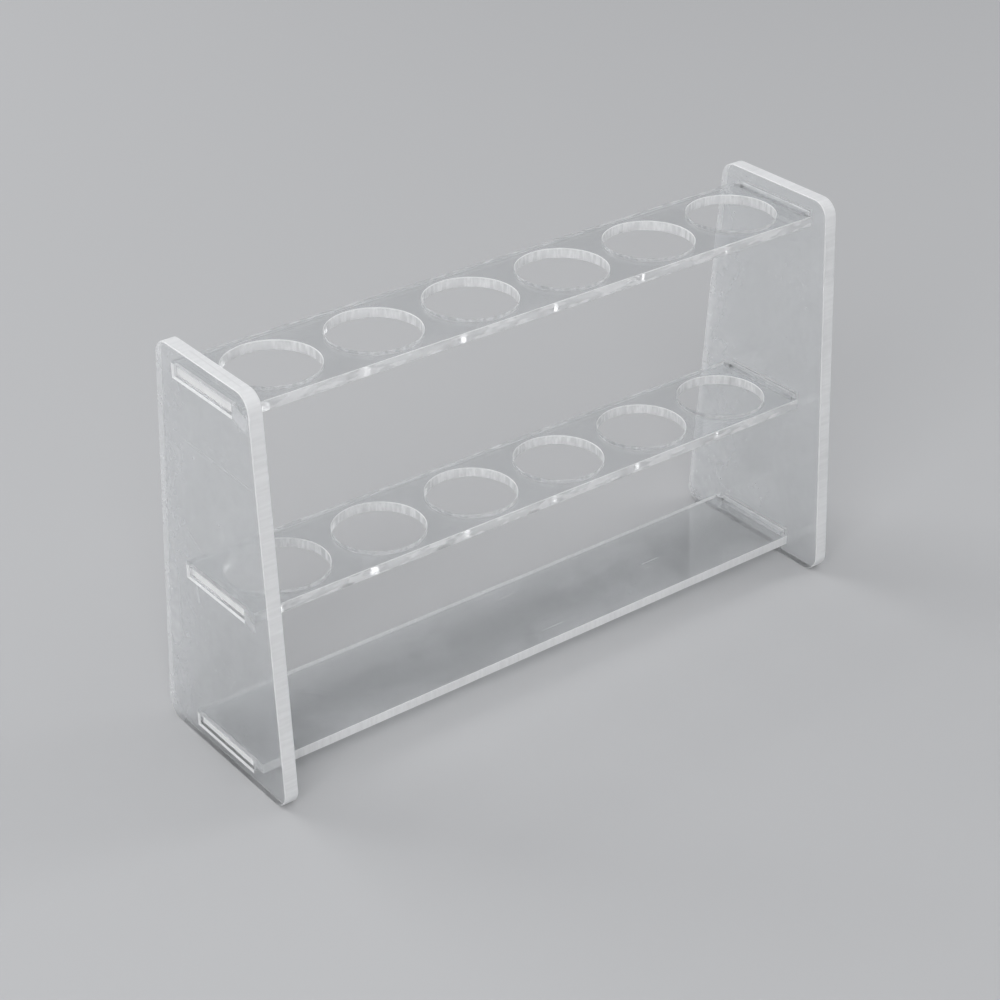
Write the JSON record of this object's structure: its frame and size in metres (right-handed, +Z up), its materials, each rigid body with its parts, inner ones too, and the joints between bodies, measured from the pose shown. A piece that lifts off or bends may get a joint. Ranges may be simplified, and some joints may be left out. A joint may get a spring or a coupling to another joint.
{
  "type": "test tube rack",
  "caption": "Clear acrylic rack with two tapered end plates, a solid bottom shelf and two bored shelves that hold a row of test tubes upright.",
  "frame": {"origin": "under the middle of the rack, on the surface that it stands on", "axes": "+X along the row of tubes, +Y from the front to the back, +Z upwards"},
  "size_m": [0.199, 0.0584, 0.12],
  "materials": {
    "clear_acrylic": "clear cast sheet with polished faces and sawn, frosted edges"
  },
  "bodies": {
    "root": {"left_end_plate": "clear_acrylic", "right_end_plate": "clear_acrylic", "bottom_shelf": "clear_acrylic", "middle_shelf": "clear_acrylic", "top_shelf": "clear_acrylic"}
  },
  "joints": []
}
